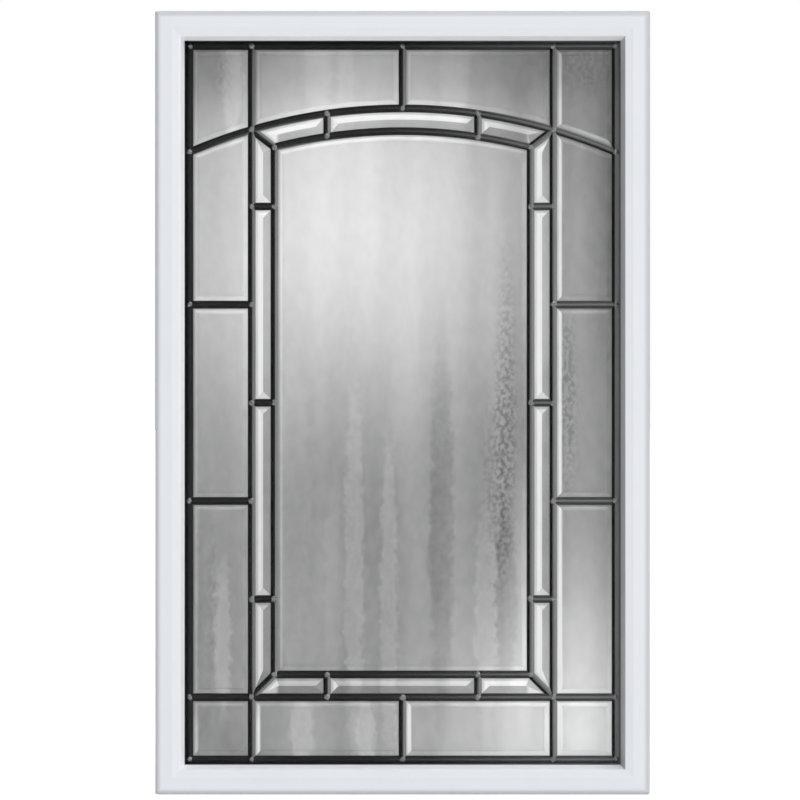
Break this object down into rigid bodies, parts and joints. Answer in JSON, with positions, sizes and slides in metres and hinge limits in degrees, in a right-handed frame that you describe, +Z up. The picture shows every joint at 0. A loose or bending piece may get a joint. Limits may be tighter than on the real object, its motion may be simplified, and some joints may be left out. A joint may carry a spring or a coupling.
{
  "type": "door glass insert",
  "caption": "Rectangular leaded-glass insert for a door: two screwed frame halves clamp a triple-glazed unit whose inner panel has an arched came pattern with bevelled borders.",
  "frame": {"origin": "centre of the insert: middle of the glass and middle of the door's thickness", "axes": "+X to the right seen from outside, +Z up the door, exterior face towards -Y"},
  "size_m": [0.6096, 0.0698, 0.9652],
  "materials": {
    "frame_moulding": "satin white moulding",
    "screw_steel": "zinc plated",
    "clear_glass": "polished, toughened",
    "textured_glass": "rolled texture with a polished edge bevel",
    "bevel_glass": "polished bevels",
    "came_metal": "black patina",
    "solder": "dark patina",
    "spacer_metal": "dark anodised",
    "edge_sealant": "matt black sealant",
    "glazing_bead": "white silicone",
    "glazing_tape": "white foam tape",
    "setting_rubber": "matt black"
  },
  "bodies": {
    "root": {"arch_cames": "came_metal", "arch_rungs": "came_metal", "border_cames": "came_metal", "bottom_centre_bevel": "bevel_glass", "bottom_left_bevel": "bevel_glass", "bottom_left_corner_pane": "textured_glass", "bottom_left_pane": "textured_glass", "bottom_right_bevel": "bevel_glass", "bottom_right_corner_pane": "textured_glass", "bottom_right_pane": "textured_glass", "centre_pane": "textured_glass", "corner_mitre_cames": "came_metal", "divider_cames": "came_metal", "edge_sealant": "edge_sealant", "exterior_frame": "frame_moulding", "exterior_glazing_bead": "glazing_bead", "exterior_lite": "clear_glass", "exterior_spacer": "spacer_metal", "frame_screws": "screw_steel", "inner_arch_came": "came_metal", "inner_lower_came": "came_metal", "interior_frame": "frame_moulding", "interior_glazing_tape": "glazing_tape", "interior_lite": "clear_glass", "interior_spacer": "spacer_metal", "left_bevel_1": "bevel_glass", "left_bevel_2": "bevel_glass", "left_bevel_3": "bevel_glass", "left_bevel_4": "bevel_glass", "left_cross_cames": "came_metal", "left_inner_came": "came_metal", "left_lower_pane": "textured_glass", "left_middle_pane": "textured_glass", "left_outer_came": "came_metal", "left_rungs": "came_metal", "left_upper_pane": "textured_glass", "lower_cames": "came_metal", "lower_rungs": "came_metal", "right_bevel_1": "bevel_glass", "right_bevel_2": "bevel_glass", "right_bevel_3": "bevel_glass", "right_bevel_4": "bevel_glass", "right_cross_cames": "came_metal", "right_inner_came": "came_metal", "right_lower_pane": "textured_glass", "right_middle_pane": "textured_glass", "right_outer_came": "came_metal", "right_rungs": "came_metal", "right_upper_pane": "textured_glass", "screw_plugs": "frame_moulding", "setting_blocks": "setting_rubber", "solder_joints": "solder", "top_centre_bevel": "bevel_glass", "top_left_bevel": "bevel_glass", "top_left_corner_pane": "textured_glass", "top_left_pane": "textured_glass", "top_right_bevel": "bevel_glass", "top_right_corner_pane": "textured_glass", "top_right_pane": "textured_glass"}
  },
  "joints": []
}
